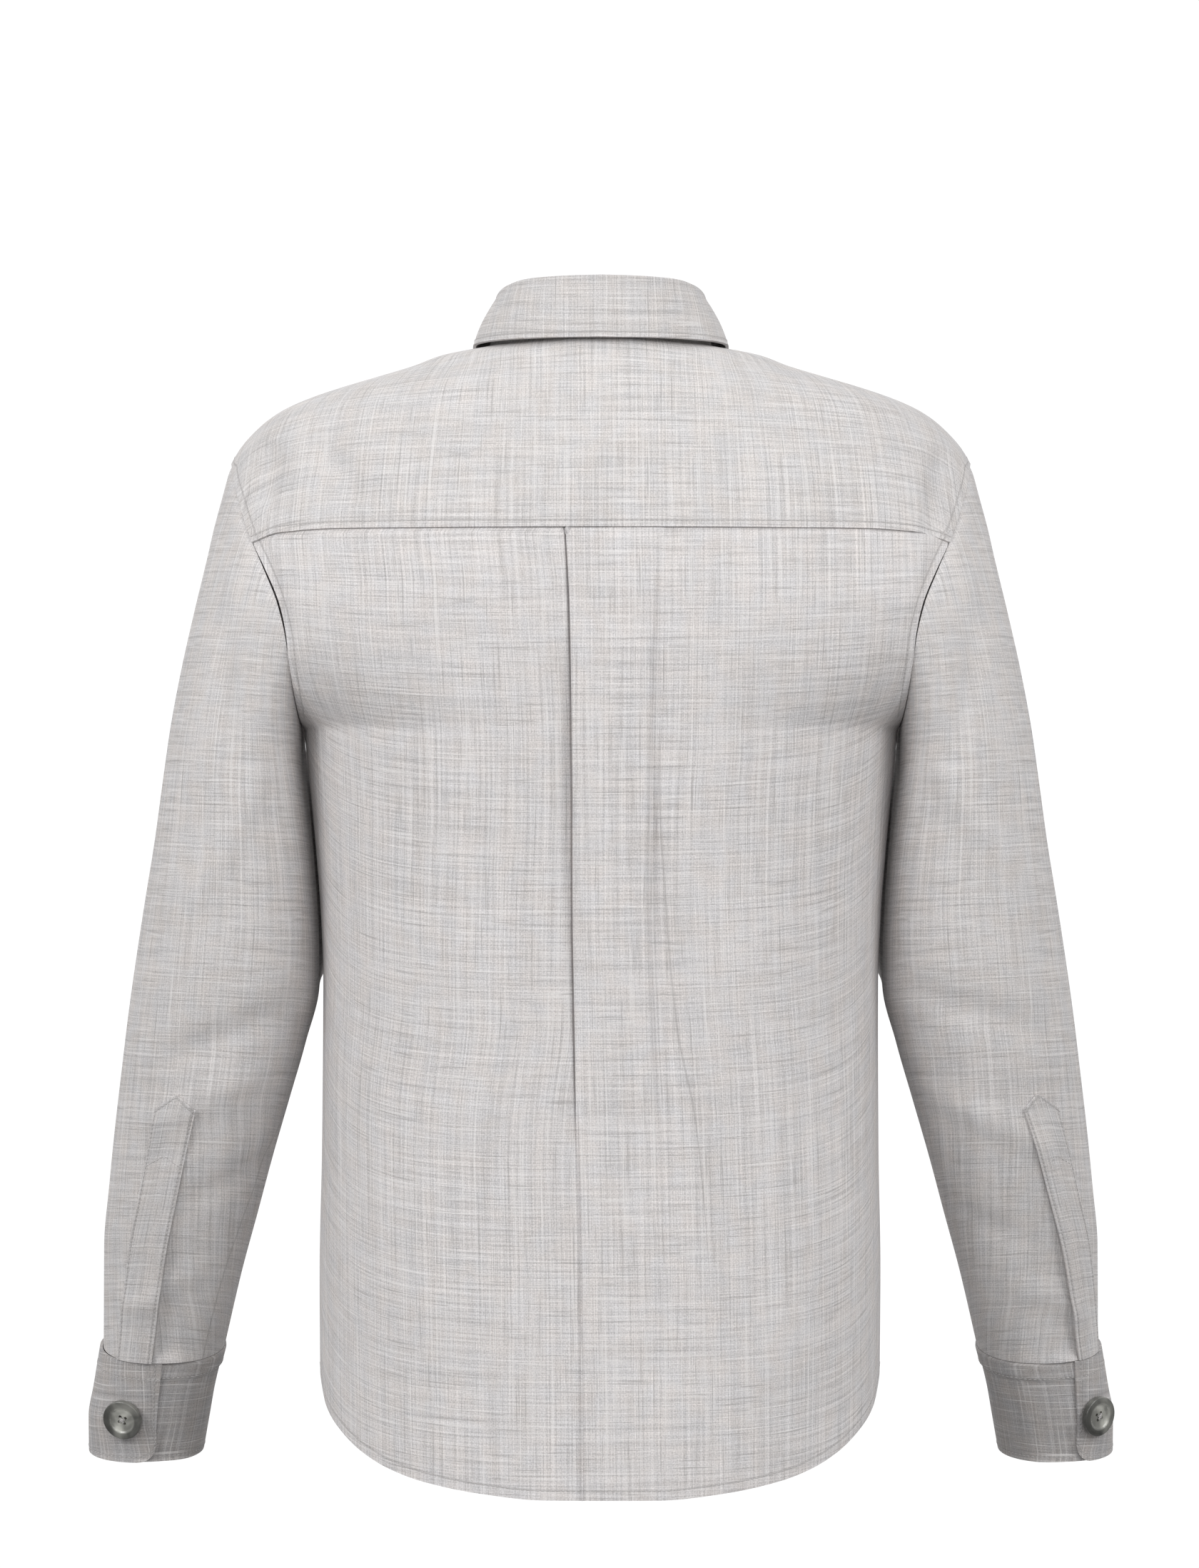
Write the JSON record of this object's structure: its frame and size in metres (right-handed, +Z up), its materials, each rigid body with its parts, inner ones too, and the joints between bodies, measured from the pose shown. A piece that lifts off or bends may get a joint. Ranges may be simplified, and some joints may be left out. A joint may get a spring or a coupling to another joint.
{
  "type": "overshirt",
  "caption": "Long-sleeved overshirt with collar, back yoke, centre back pleat, shirt-tail hem and buttoned cuffs, in the hollow form it has when worn.",
  "frame": {"origin": "middle of the neck base, at the height of the point where the shoulder line meets the neck, where the wearer's shoulders hold the garment up", "axes": "+Z up towards the collar, +Y towards the back, +X towards the wearer's left sleeve"},
  "size_m": [0.6162, 0.2569, 0.7022],
  "materials": {
    "body_cloth": "matt slubbed plain weave, warm light grey",
    "yoke_cloth": "matt slubbed plain weave, warm light grey",
    "collar_cloth": "matt slubbed plain weave, warm light grey",
    "sleeve_cloth": "matt slubbed plain weave, warm light grey",
    "cuff_cloth": "matt slubbed plain weave, warm grey",
    "button_horn": "polished horn look, grey marbled with smoky patches"
  },
  "bodies": {
    "root": {"back_panel": "body_cloth", "yoke": "yoke_cloth", "front_left": "body_cloth", "front_right": "body_cloth", "front_band": "body_cloth", "collar_stand": "collar_cloth", "collar_leaf": "collar_cloth", "sleeve_left": "sleeve_cloth", "sleeve_right": "sleeve_cloth", "placket_left": "sleeve_cloth", "placket_right": "sleeve_cloth", "cuff_left": "cuff_cloth", "cuff_right": "cuff_cloth", "button_front_1": "button_horn", "button_front_2": "button_horn", "button_front_3": "button_horn", "button_front_4": "button_horn", "button_front_5": "button_horn", "button_front_6": "button_horn", "button_front_7": "button_horn", "button_cuff_left": "button_horn", "button_cuff_right": "button_horn"}
  },
  "joints": []
}
